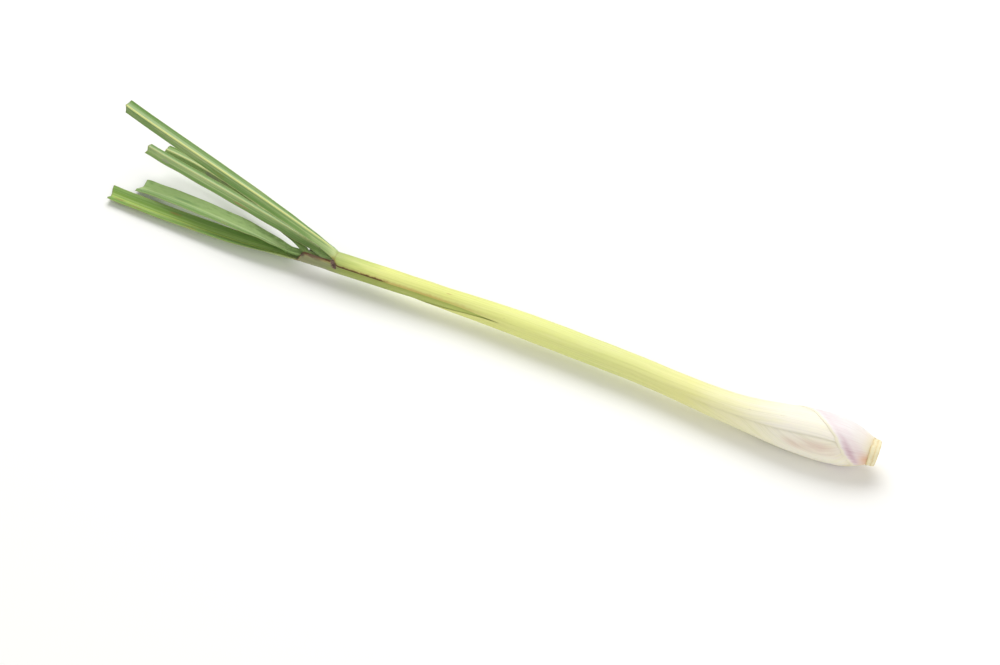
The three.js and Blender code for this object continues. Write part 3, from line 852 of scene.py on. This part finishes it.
def leaf_skin(name, seed, colours, midrib, painted_highlight, blotches, marks, dry=None, more=None):
    """colours: stops over 0 to 400 mm from the root cut. midrib: its colour. painted_highlight: how strong the
    painted highlight strip beside it is. blotches: how strong the scattered ones are. marks: single old spots,
    and painted highlights, as (along, across, long, wide, colour). dry: (measure, from, to) of a dried margin.
    more: further layers."""
    material, tree, along, across, margin, blade, overlap, end, inside = start_skin(
        name, "along", "across", "margin", "blade", "overlap", "end", "inside")
    distance = add(tree, "ShaderNodeMath", {"operation": "ABSOLUTE"}, {0: across}).outputs[0]

    # the base is shifted by slow unevenness, so that no zone of colour ends in a straight line
    drift = growth(tree, across, along, (0.5, 0.05), seed + 20)
    fields = growth(tree, across, along, (0.26, 0.035), seed)
    colour = base_colour(tree, shifted(tree, -11.0, (drift, 22.0), (along, 1.0)), SKIN_REACH, colours)
    colour = layer(tree, colour, "#F1EDB0", (fields, 0.5, 0.72), 0.22)
    colour = layer(tree, colour, "#5E8A48", (fields, 0.5, 0.3), blade, 0.2)
    # fine veins, and uneven streaks between them
    streaks = growth(tree, across, along, (1.9, 0.012), seed + 3, 4.0, 0.62)
    phase = strength(tree, across, VEINS_PER_MM * TURN)
    vein = add(tree, "ShaderNodeMath", {"operation": "SINE"}, {0: phase}).outputs[0]
    lines = shifted(tree, 0.07, (blade, 0.14))
    colour = layer(tree, colour, "#E8F0BE", (streaks, 0.4, 0.66), lines, 1.1)
    colour = layer(tree, colour, "#5D7E3A", (streaks, 0.56, 0.32), lines, 1.5)
    colour = layer(tree, colour, "#CFE0AE", (vein, 0.0, 1.0), blade, 0.13)
    # a painted highlight beside the midrib, strongest on the half that faces the light, and painted shade
    # towards the margins, where the folded blade turns from the light; the very edge is a pale line
    lit_half = shifted(tree, 0.2, (strength(tree, (across, 0.25, -0.25)), 0.8))
    colour = layer(tree, colour, "#B3CB9E", (distance, 2.2, 0.7), blade, lit_half, painted_highlight)
    colour = layer(tree, colour, "#4E7B36", (distance, 1.2, 3.6), blade, 0.55)
    colour = layer(tree, colour, "#B9B27C", (margin, 0.3, 0.08), blade, 0.5)
    colour = layer(tree, colour, midrib, (distance, 0.62, 0.3), blade, 0.9)
    # the dried margin, dark at the edge and orange where it fades out
    if dry:
        measure, start, stop = dry
        read = {"attribute_type": "GEOMETRY", "attribute_name": measure}
        from_edge = add(tree, "ShaderNodeAttribute", read).outputs["Fac"]
        uneven = growth(tree, across, along, (0.6, 0.5), seed + 30, 4.0)
        edge = shifted(tree, -0.45, (uneven, 1.5), (streaks, 0.4), (from_edge, 1.0))
        tawny = (along, start - 42, stop, 22.0), (edge, 2.6, 0.7), (fields, 0.3, 0.5)
        colour = layer(tree, colour, "#BF8A3E", *tawny, 0.55)
        colour = layer(tree, colour, "#57351C", (along, start, stop, 3.0), (edge, 1.75, 0.9), 0.93)
    # scattered old blotches, single spots and painted highlights, the dried line of the cut and the paler inner side
    spots = growth(tree, across, along, (0.9, 0.2), seed + 9, 5.0)
    colour = layer(tree, colour, "#93703F", (spots, 0.66, 0.75), blotches)
    for place, side, long, wide, code in marks:
        u, v = shifted(tree, -place / long, (along, 1 / long)), shifted(tree, -side / wide, (across, 1 / wide))
        away = shifted(tree, strength(tree, u, u), (v, v), (spots, 2.4))
        colour = layer(tree, colour, code, (away, 2.1, 1.2), 0.8)
    colour = layer(tree, colour, "#9A9A63", (shifted(tree, end, (streaks, 0.8)), 1.2, 0.4), 0.6)
    colour = layer(tree, colour, "#B9CF90", inside, 0.12)
    if more:
        colour = more(tree, colour, along, overlap, fields)
    height, roughness = shifted(tree, streaks, (vein, 0.3)), shifted(tree, 0.4, (streaks, 0.2))
    specular = shifted(tree, 0.45, (blade, -0.25))
    finish_skin(tree, colour, height, (0.3, 0.0001), roughness, (0.12, (0.8, 1.0, 0.35)), specular)
    print(name, len(tree.nodes), "nodes")
    return material


# %% [markdown]
# ## Skin of the outermost leaf
# The outermost sheath is tinged mauve and darkened with painted shade beside its overlap at the bulb, with
# a line of painted shade in the crease under the overlapping margin, and a thin brownish line crosses its
# collar. Its margin above is dried dark brown, with an orange edge, as an old leaf's is.

# %% Skin of the outermost leaf
def bulb_and_collar(tree, colour, along, overlap, fields):
    """The layers that only the outermost leaf has."""
    covered, crease_shade = (overlap, 2.6, 7.4, 2.4), ((overlap, 1.0, 0.2), (overlap, -0.6, 0.0))
    # a mauve tint, partly painted shade, in the band beside the overlapping margin
    colour = layer(tree, colour, "#D3A99A", (along, 17, 38, 8.0), covered, (fields, 0.25, 0.6), 0.55)
    # painted shade along the crease under the overlapping margin
    colour = layer(tree, colour, "#B4B189", *crease_shade, (along, 90, 60), 0.15)
    return layer(tree, colour, "#96804F", (along, 262.3, 262.8, 0.45), (fields, 0.3, 0.6), 0.55)


leaf_skins = {"outer_leaf": leaf_skin(
    "outer_leaf_skin", 2, [
        (4, "#F4E8C6"), (14, "#F9F3E4"), (40, "#FAF5E4"), (60, "#F6F1C8"), (86, "#EEEC9F"), (130, "#E3E893"),
        (170, "#EAEE92"), (205, "#E6EA88"), (238, "#E6EA8A"), (249, "#CBD778"), (258, "#B2C068"), (263, "#A5B663"),
        (268, "#A5BA76"), (290, "#7F9F55"), (330, "#71944B"), (392, "#6A9047"),
    ], "#DBE094", 0.5, 0.12, [(343, 2.2, 4, 0.7, "#7B8A45"), (205, 3.0, 2.2, 0.3, "#C39A5A")],
    ("plus", 236, 262.6), bulb_and_collar,
)}

# %% [markdown]
# ## Skins of the younger leaves
# The younger leaves have the same skin in their own greens. The second one is the yellowest, with the
# most dried spots, and its collar is a dull dark olive; the third to fifth are cooler and cleaner. Below
# their collars they are hidden, so few stops are enough there.

# %% Skins of the younger leaves
leaf_skins["second_leaf"] = leaf_skin(
    "second_leaf_skin", 5, [
        (5, "#F3EEDC"), (150, "#D3DA86"), (196, "#B9C565"), (235, "#A6B256"), (258, "#98A650"), (266, "#8F9468"),
        (281, "#8C8A66"), (296, "#789A3C"), (340, "#80A636"), (387, "#8DB33A"),
    ], "#B8C85E", 0.15, 0.3, [
        (279.5, -8.6, 3.2, 2.6, "#43302A"), (272, -8.4, 5, 1.5, "#6A5646"), (380, -1.6, 3.4, 1.5, "#97743B"),
        (371, -3.4, 6, 0.8, "#A5843F"), (346, -4.2, 5, 0.6, "#9C7B40"), (356, 3, 4, 0.7, "#8E7C3C"),
    ], ("minus", 262, 283),
)
HIDDEN_PART = [(5, "#F3EEDC"), (200, "#B9CF86")]
leaf_skins["third_leaf"] = leaf_skin(
    "third_leaf_skin", 7, HIDDEN_PART + [(262, "#94B06C"), (300, "#86A560"), (376, "#82A15E")],
    "#C9D295", 0.5, 0.35, [(366, 2.0, 3, 0.8, "#9DA488"), (330, 2.4, 5, 0.5, "#A98A63")],
)
leaf_skins["fourth_leaf"] = leaf_skin(
    "fourth_leaf_skin", 9, HIDDEN_PART + [(280, "#8DAC68"), (330, "#8DB068"), (378, "#93B86A")],
    "#C5D89A", 0.4, 0.15,
    # the first mark, 60 mm long and pale, is a painted highlight along the half of the blade that faces the light
    [(350, 3.2, 60, 4.2, "#B2CE8A"), (331, -3.6, 2.5, 0.6, "#A88C70"), (352, 1.5, 9, 0.7, "#7FA66A")],
)
leaf_skins["fifth_leaf"] = leaf_skin(
    "fifth_leaf_skin", 12, HIDDEN_PART + [(280, "#7F9E54"), (340, "#76964B"), (370, "#7D9E4E")],
    "#D2D99A", 0.3, 0.2, [(349, 1.5, 4.5, 1.3, "#8D8C78"), (343, 0.9, 2.5, 0.8, "#7C7A62")],
)

# %% [markdown]
# ## Skin of the peeled sheath
# Moist, thin and almost white, with the lilac pink that lemongrass shows at the bulb. The pink runs in
# soft streaks beside the slanting edge and is strongest on the side that faces down; the rim itself is
# cream and thin, and the foot has a tan stain.

# %% Skin of the peeled sheath
MM_PER_DEGREE = 0.17  # round the bulb
remnant_skin, tree, edge, rim, angle, along = start_skin("pink_sheath_skin", "edge", "rim", "angle", "along")
round_mm = strength(tree, angle, MM_PER_DEGREE)
cloud = growth(tree, round_mm, along, (0.22, 0.08), 3)
fine = growth(tree, round_mm, along, (2.2, 0.05), 4, 4.0, 0.6)
colour = base_colour(tree, along, 60.0, [
    (3, "#F3E6C4"), (7, "#F4EAE0"), (14, "#F6F0EE"), (30, "#F8F1EE"), (58, "#F5EFEA")])
lower = strength(tree, (angle, 36, 112, 26.0))
at = shifted(tree, edge, (cloud, 3.0))
colour = layer(tree, colour, "#EBCDD6", (at, 3.4, 12.5, 3.0), shifted(tree, 0.28, (lower, 0.22)))
colour = layer(tree, colour, "#C497AB", (at, 4.3, 6.9, 1.8), shifted(tree, 0.12, (lower, 0.62)), (along, 4, 9))
foot_stain = shifted(tree, along, (cloud, 6.0))
colour = layer(tree, colour, "#E2A876", (foot_stain, 12.0, 5.0), (angle, 62, 128, 20.0), 0.85)
colour = layer(tree, colour, "#FFFDF8", (fine, 0.42, 0.68), 0.2)
colour = layer(tree, colour, "#CDB2A8", (fine, 0.5, 0.3), 0.16)
colour = layer(tree, colour, "#FBF3D6", (rim, 2.2, 0.9), 0.85)
colour = layer(tree, colour, "#C4A56E", (rim, 0.4, 0.15), (cloud, 0.58, 0.68), 0.5)
finish_skin(tree, colour, fine, (0.3, 0.0001), 0.42, (0.15, (1.0, 0.8, 0.7)))

# %% [markdown]
# ## Skins of the root end
# The cut stem is fibrous flesh, straw coloured, with a tan ring where the outer bundles crowd together
# and a paler rind; it is matt and mottled. The torn feet round it are the same cream, drier, with an
# orange stain on one side. The ligule is a dead membrane: dark purple-brown with a papery lighter rim.
# The bundle ends and the torn fibres are so small that one plain colour each is enough.

# %% Skins of the root end
def mottling(tree, per_metre, detail):
    """Even mottling that fills the piece, for flesh without a direction."""
    place = add(tree, "ShaderNodeTexCoord").outputs["Object"]
    inputs = {"Vector": place, "Scale": per_metre, "Detail": detail}
    return add(tree, "ShaderNodeTexNoise", {}, inputs).outputs["Fac"]


stem_skin, tree, radial = start_skin("cut_stem_flesh", "radial")
mottle = mottling(tree, 700.0, 4.0)
colour = base_colour(tree, shifted(tree, radial, (mottle, 0.7)), 9.0, [
    (0, "#E0CE9C"), (2.6, "#E3D2A2"), (4.3, "#DEC68E"), (4.75, "#C99A5C"), (5.1, "#DDBB7C"), (5.6, "#EFDCA8"),
    (9, "#F3E7BC")])
colour = layer(tree, colour, "#C9A970", (mottle, 0.52, 0.68), 0.35)
colour = layer(tree, colour, "#F1E6C4", (mottle, 0.46, 0.34), 0.4)
finish_skin(tree, colour, mottle, (0.5, 0.00015), 0.6, (0.12, (1.0, 0.7, 0.4)))

torn_skin, tree, edge, angle, along = start_skin("torn_sheath_foot", "edge", "angle", "along")
fine = growth(tree, angle, along, (0.35, 0.3), 5, 4.0, 0.6)
patch = growth(tree, angle, along, (0.02, 0.1), 6)
colour = base_colour(tree, edge, 3.0, [
    (0, "#E9CF9A"), (0.25, "#F3E2B2"), (0.8, "#F7EDC6"), (2.2, "#F4E7BE"), (3, "#EBD6A2")])
colour = layer(tree, colour, "#E0BE84", (fine, 0.5, 0.72), 0.4)
colour = layer(tree, colour, "#DDA873", (patch, 0.55, 0.75), (angle, 60, 200, 30.0), 0.6)
finish_skin(tree, colour, fine, (0.5, 0.00012), 0.5, (0.15, (1.0, 0.8, 0.5)))

dry_skin, tree, edge = start_skin("dried_ligule", "edge")
colour = layer(tree, linear("#4A3630"), "#7A6154", (mottling(tree, 900.0, 3.0), 0.35, 0.65))
colour = layer(tree, colour, "#B79F86", (edge, 0.5, 0.0), 0.6)
join(tree, tree.nodes["Principled BSDF"], {"Base Color": colour, "Roughness": 0.75})

bundle_skin = plain_skin("bundle_ends", "#B98A4C", 0.7)
fibre_skin = plain_skin("torn_fibres", "#EFDDA8", 0.6)
print("skins", sorted(material.name for material in bpy.data.materials))

# %% [markdown]
# ## Geometry Nodes: what repeats
# Two small trees make everything that repeats. The first sweeps a round thread along every line of a
# mesh of edges, scaled by the line's own size attribute: used for the veins and the torn fibres. The
# second scatters flattened grains over a surface: used for the ends of the bundles in the root cut. They
# could be loops in Python, but a tree keeps what repeats in one place, with its radius, spacing and seed
# as inputs.

# %% Trees
def start_tree(name, inputs):
    """Geometry Nodes tree with one geometry input, further named inputs and one geometry output."""
    tree = bpy.data.node_groups.new(name, "GeometryNodeTree")
    tree.interface.new_socket("Geometry", in_out="INPUT", socket_type="NodeSocketGeometry")
    for key, kind in inputs.items():
        tree.interface.new_socket(key, in_out="INPUT", socket_type="NodeSocket" + kind)
    tree.interface.new_socket("Geometry", in_out="OUTPUT", socket_type="NodeSocketGeometry")
    return tree, tree.nodes.new("NodeGroupInput").outputs, tree.nodes.new("NodeGroupOutput").inputs


def close_tree(tree, geometry, material, output):
    real = add(tree, "GeometryNodeRealizeInstances", {}, {"Geometry": geometry}).outputs[0]
    done = add(tree, "GeometryNodeSetMaterial", {}, {"Geometry": real, "Material": material}).outputs[0]
    tree.links.new(done, output["Geometry"])


threads, given, output = start_tree("threads_along_lines", {
    "Radius": "Float", "Sides": "Int", "Material": "Material"})
named = add(threads, "GeometryNodeInputNamedAttribute", {"data_type": "FLOAT"}, {"Name": "size"})
lines = add(threads, "GeometryNodeMeshToCurve", {}, {"Mesh": given["Geometry"]})
circle = add(threads, "GeometryNodeCurvePrimitiveCircle", {}, {
    "Resolution": given["Sides"], "Radius": given["Radius"]})
swept = add(threads, "GeometryNodeCurveToMesh", {}, {
    "Curve": lines.outputs[0], "Profile Curve": circle.outputs[0], "Scale": named.outputs["Attribute"],
    "Fill Caps": True})
close_tree(threads, swept.outputs[0], given["Material"], output)

grains, given, output = start_tree("grains_on_surface", {
    "Spacing": "Float", "Density": "Float", "Radius": "Float", "Seed": "Int", "Material": "Material"})
spread = add(grains, "GeometryNodeDistributePointsOnFaces", {"distribute_method": "POISSON"}, {
    "Mesh": given["Geometry"], "Distance Min": given["Spacing"], "Density Max": given["Density"],
    "Seed": given["Seed"]}).outputs
stretch = add(grains, "FunctionNodeRandomValue", {"data_type": "FLOAT_VECTOR"}, {
    "Min": (0.6, 0.6, 0.35), "Max": (1.3, 1.3, 0.5), "Seed": given["Seed"]}).outputs[0]
ball = add(grains, "GeometryNodeMeshIcoSphere", {}, {"Radius": given["Radius"], "Subdivisions": 2}).outputs[0]
placed = add(grains, "GeometryNodeInstanceOnPoints", {}, {
    "Points": spread["Points"], "Instance": ball, "Rotation": spread["Rotation"], "Scale": stretch}).outputs[0]
close_tree(grains, placed, given["Material"], output)


def grow(source, tree, values):
    """Runs a tree on an object and keeps the mesh that it makes."""
    modifier = source.modifiers.new("grow", "NODES")
    modifier.node_group = tree
    for item in tree.interface.items_tree:
        if item.in_out == "INPUT" and item.name in values:
            modifier[item.identifier] = values[item.name]
    depsgraph = bpy.context.evaluated_depsgraph_get()
    evaluated = source.evaluated_get(depsgraph)
    mesh = bpy.data.meshes.new_from_object(evaluated, preserve_all_data_layers=True, depsgraph=depsgraph)
    source.modifiers.clear()
    old = source.data
    mesh.name = old.name
    source.data = mesh
    bpy.data.meshes.remove(old)
    mesh.shade_smooth()
    print(mesh.name, len(mesh.polygons), "faces")
    return source


def line_mesh(name, lines, data):
    """Object of polylines: lines is (count, points, 3), data holds values of the same shape."""
    index = np.arange(lines.size // 3).reshape(lines.shape[:2])
    edges = np.stack([index[:, :-1], index[:, 1:]], -1).reshape(-1, 2).tolist()
    return mesh_object(name, lines.reshape(-1, 3), [], {k: v.ravel() for k, v in data.items()}, edges=edges)


print("trees", [tree.name for tree in bpy.data.node_groups])

# %% [markdown]
# ## Veins
# A grass leaf is ribbed by veins that run its whole length. Each vein is a thread, sunk in the skin so
# that only a low ridge shows. The blade's veins run on down the sheath; the sheath has more between them.
# A ridge of real geometry catches the light at the edge of the stalk, where a bump map would be flat.

# %% Veins
VEIN_RADIUS, VEIN_SINK, VEIN_SIDES = 0.15, 0.1, 6
extra = []


def thinned(rows):
    """Every second row of a leaf, which is enough for a line."""
    count = len(rows["s"])
    kept = np.r_[0:count:2, count - 1]
    return {key: value[kept] if np.ndim(value) and len(value) == count else value for key, value in rows.items()}


def vein_piece(name, points, data, skin, slot):
    """Threads along the columns of a grid of points."""
    lines = line_mesh(name, points.transpose(1, 0, 2), {key: value.T for key, value in data.items()})
    values = {"Radius": VEIN_RADIUS * MM, "Sides": VEIN_SIDES, "Material": skin}
    extra.append((grow(lines, threads, values), slot))


def sheath_fade(leaf, rows, data):
    """The outermost sheath's veins grow out of the fleshy bulb and sink again below the collar."""
    s = rows["s"][:, None]
    seen = (data["overlap"] > 0.8) | (data["across"] > 0)
    return smooth(s, 12, 40) * (1 - smooth(s, 249, 260)) * smooth(data["margin"], 0.6, 1.6) * seen


def blade_fade(leaf, rows, data):
    """A blade's veins start at the collar and end at the cut."""
    s, collar = rows["s"][:, None], leaf["collar"]
    start = smooth(s, collar - 14, collar - 8) if rows["order"] else rows["blade"][:, None]
    return start * smooth(data["end"], 0, 1.5)


def leaf_veins(leaf, part, share):
    """Veins of one part of a leaf, at signed shares of its reach: sheath, or outer or inner side of the blade."""
    rows = thinned(leaf["rows"])
    outer, inner, data = leaf_surface(leaf, rows, share, lift=-VEIN_SINK)
    grown = 0.72 + 0.28 * np.sin(np.arange(len(share)) * 2.4 + rows["order"])
    fade = sheath_fade if part == "sheath" else blade_fade
    data["size"] = 0.3 + 0.7 * fade(leaf, rows, data) * grown
    data["inside"] = np.full(outer.shape[:2], float(part == "inner"))
    shown = rows["s"] < leaf["collar"] - 1 if part == "sheath" else rows["s"] > leaf["collar"] - 15
    points = (inner if part == "inner" else outer)[shown]
    data = {key: value[shown] for key, value in data.items()}
    vein_piece(f"{leaf['name']}_{part}_veins", points, data, leaf_skins[leaf["name"]], leaf["slot"])


blade_shares = np.concatenate([-np.arange(7, 0, -1), np.arange(1, 8)]) / 7.6
sheath_shares = np.concatenate([-np.arange(59, 0, -1) / 60, np.arange(1, 14) / 14])
for leaf in LEAVES:
    for part in ("outer", "inner"):
        leaf_veins(leaf, part, blade_shares)
leaf_veins(LEAVES[0], "sheath", sheath_shares)

rounds = np.arange(4, 357, 5.2)
outer, inner, data = remnant_grid(rounds, np.linspace(0.08, 0.97, 30))
grown = 0.8 + 0.2 * np.sin(np.arange(len(rounds)) * 2.1)
data["size"] = (0.35 + 0.6 * smooth(data["rim"], 0.5, 3) * smooth(data["along"], 5, 12)) * grown
vein_piece("peeled_sheath_veins", outer - unit(outer - inner) * VEIN_SINK, data, remnant_skin, "peeled_sheath")

# %% [markdown]
# ## Torn fibres and bundle ends
# Where a sheath was torn off, short stiff fibres are left along the torn line. In the cut face, the ends
# of the vascular bundles show as small darker grains, closer together near the rim. Both are hundreds of
# tiny shapes, so the two trees make them from a few lines and a disc, with a few dozen faces each.

# %% Fibres and grains
FIBRE_RADIUS, FIBRE_SIDES = 0.07, 5


def torn_fibres(name, seed, count, start, height, rise_out):
    """Short bent fibres on a torn line round the stem base, pointing up the stalk."""
    rng = np.random.default_rng(seed)
    theta = rng.uniform(0, 360, count)[:, None]
    reach = height * rng.uniform(0.15, 0.5, count)[:, None]
    k = np.linspace(0, 1, 5)
    s = start + reach * k
    sway = rng.uniform(-4, 4, count)[:, None] * k**2
    lift = rise_out + rng.uniform(0.0, 0.16, count)[:, None] * k**2
    radius = outline_radius(s)
    points = on_stalk(s, theta + sway, radius + lift, cut_slant(s, radius, theta))
    size = rng.uniform(0.6, 1.1, count)[:, None] * (1 - 0.7 * k)
    piece = line_mesh(name, points, {"size": size})
    return grow(piece, threads, {"Radius": FIBRE_RADIUS * MM, "Sides": FIBRE_SIDES, "Material": fibre_skin})


extra.append((torn_fibres("torn_fibres_outer", 71, 90, 1.55, 1.2, -0.04), "stem_base"))
extra.append((torn_fibres("torn_fibres_inner", 72, 90, 3.1, 1.2, -0.08), "stem_base"))

# a disc just above the cut face, on which the bundle ends are scattered
DISC_COLUMNS, DISC_RADII, DISC_DEPTH = 48, (1.6, 3.1, 4.5), 0.12
BUNDLE_SPACING, BUNDLE_RADIUS = 0.34, 0.1
theta = np.linspace(0, 360, DISC_COLUMNS, endpoint=False)
points = [stalk_frame(0)[0][0]]
for radius in DISC_RADII:
    points += list(on_stalk(np.zeros(DISC_COLUMNS), theta, radius, cut_slant(0, radius, theta) - DISC_DEPTH))
index = 1 + np.arange(3 * DISC_COLUMNS).reshape(3, DISC_COLUMNS)
nxt = np.roll(index, -1, 1)
faces = [[0, int(a), int(b)] for a, b in zip(index[0], nxt[0])]
faces += np.stack([index[:-1], index[1:], nxt[1:], nxt[:-1]], -1).reshape(-1, 4).tolist()
bundles = mesh_object("bundle_ends", np.array(points), faces)
grow(bundles, grains, {
    "Spacing": BUNDLE_SPACING * MM, "Density": 9e6, "Radius": BUNDLE_RADIUS * MM, "Seed": 4, "Material": bundle_skin})
extra.append((bundles, "stem_base"))

# %% [markdown]
# ## Rides
# The stalk has no joints, so every piece rides on the one body. A piece that stands for a solid replaces
# it, and the rest is added to the same body.

# %% Rides
solids = [(leaves[leaf["name"]], leaf_skins[leaf["name"]], leaf["node"], leaf["slot"]) for leaf in LEAVES]
solids += [
    (peeled_sheath, remnant_skin, "outer_sheath_remnant", "peeled_sheath"),
    (stem_base, stem_skin, "root_plate", "stem_base"),
]
for piece, skin, node, slot in solids:
    piece.data.materials.append(skin)
    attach(piece, "root")
    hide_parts(node)
for piece, skin, slot in [(foot, torn_skin, "stem_base") for foot in torn_feet] + [
        (ligule, dry_skin, "outer_leaf") for ligule in ligules]:
    piece.data.materials.append(skin)
    extra.append((piece, slot))
for piece, slot in extra:
    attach(piece, "root")
print(len(solids), "pieces stand for solids,", len(extra), "are added")
